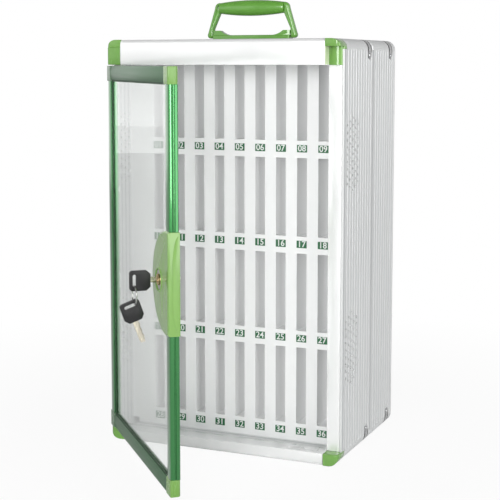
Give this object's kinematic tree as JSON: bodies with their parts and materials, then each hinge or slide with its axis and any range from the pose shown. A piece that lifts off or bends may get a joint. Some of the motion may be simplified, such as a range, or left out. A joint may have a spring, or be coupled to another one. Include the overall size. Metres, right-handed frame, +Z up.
{
  "type": "cell phone locker box",
  "caption": "Lockable cell phone storage case with rows of numbered upright slots, a glazed hinged door, cam lock with keys, corner caps and a folding carry handle.",
  "frame": {"origin": "middle of the base, on the plane that the case stands on", "axes": "+X to the right seen from the front, -Y towards the front, where the door is, +Z up"},
  "size_m": [0.2744, 0.3768, 0.4895],
  "materials": {
    "rail_white": "satin",
    "panel_silver": "satin",
    "back_grey": "satin",
    "tray_white": "satin",
    "cap_green": "gloss",
    "hinge_green": "gloss",
    "door_green": "anodised satin",
    "corner_green": "gloss",
    "lock_green": "gloss",
    "handle_green": "gloss",
    "label_green": "printed",
    "glazing": "clear",
    "bead_dark": "matte",
    "washer_white": "matte",
    "pin_steel": "bright",
    "clip_steel": "bright",
    "lock_chrome": "polished",
    "plug_brass": "polished",
    "key_black": "moulded"
  },
  "bodies": {
    "case": {"top_rail": "rail_white", "bottom_rail": "rail_white", "hinge_post": "rail_white", "lock_post": "rail_white", "cap_top_left": "cap_green", "cap_top_right": "cap_green", "cap_bottom_left": "cap_green", "cap_bottom_right": "cap_green", "edge_profiles_front": "panel_silver", "edge_profiles_rear": "panel_silver", "side_left_front": "panel_silver", "side_left_rear": "panel_silver", "side_right_front": "panel_silver", "side_right_rear": "panel_silver", "top_front": "panel_silver", "top_rear": "panel_silver", "bottom_front": "panel_silver", "bottom_rear": "panel_silver", "back_sheet": "back_grey", "corner_clips": "clip_steel", "clip_rivets": "clip_steel", "tray_brackets": "tray_white", "divider_channels": "tray_white", "slot_shelves": "tray_white", "header_lips": "tray_white", "number_labels": "label_green", "hinge_block": "hinge_green", "hinge_pins": "pin_steel", "thrust_washer": "washer_white", "handle_base": "handle_green", "handle_pins": "pin_steel"},
    "door": {"door_hinge_stile": "door_green", "door_lock_stile": "door_green", "door_top_rail": "door_green", "door_bottom_rail": "door_green", "corner_hinge_top": "corner_green", "corner_hinge_bottom": "corner_green", "corner_lock_top": "corner_green", "corner_lock_bottom": "corner_green", "door_pane": "glazing", "glazing_bead": "bead_dark", "lock_housing": "lock_green", "lock_barrel": "lock_chrome", "lock_nut": "pin_steel"},
    "handle": {"handle_grip": "handle_green", "handle_legs": "handle_green"},
    "lock": {"lock_plug": "plug_brass", "lock_cam": "pin_steel", "cam_screw": "pin_steel"},
    "key": {"key_blade": "pin_steel", "key_head": "key_black"},
    "ring": {"key_ring": "pin_steel"},
    "spare": {"spare_blade": "pin_steel", "spare_head": "key_black"}
  },
  "joints": [
    {"name": "door_hinge", "type": "hinge", "parent": "case", "child": "door", "pos_m": [-0.1315, -0.085, 0.2155], "axis": [0, 0, -1], "range_deg": [-48, 72]},
    {"name": "handle_fold", "type": "hinge", "parent": "case", "child": "handle", "pos_m": [0, -0.005, 0.45095], "axis": [1, 0, 0], "range_deg": [-82, 82]},
    {"name": "lock_turn", "type": "hinge", "parent": "door", "child": "lock", "pos_m": [0.02032, -0.24838, 0.2165], "axis": [-0.7431, -0.6691, 0], "range_deg": [0, 90]},
    {"name": "key_slide", "type": "slide", "parent": "lock", "child": "key", "axis": [-0.7431, -0.6691, 0], "range_m": [0, 0.015]},
    {"name": "ring_swing", "type": "hinge", "parent": "key", "child": "ring", "pos_m": [-0.00592, -0.272, 0.2118], "axis": [0.6691, -0.7431, 0], "range_deg": [-20, 6]},
    {"name": "spare_swing", "type": "hinge", "parent": "ring", "child": "spare", "pos_m": [-0.00592, -0.272, 0.1946], "axis": [0.6691, -0.7431, 0], "range_deg": [-25, 4]}
  ]
}
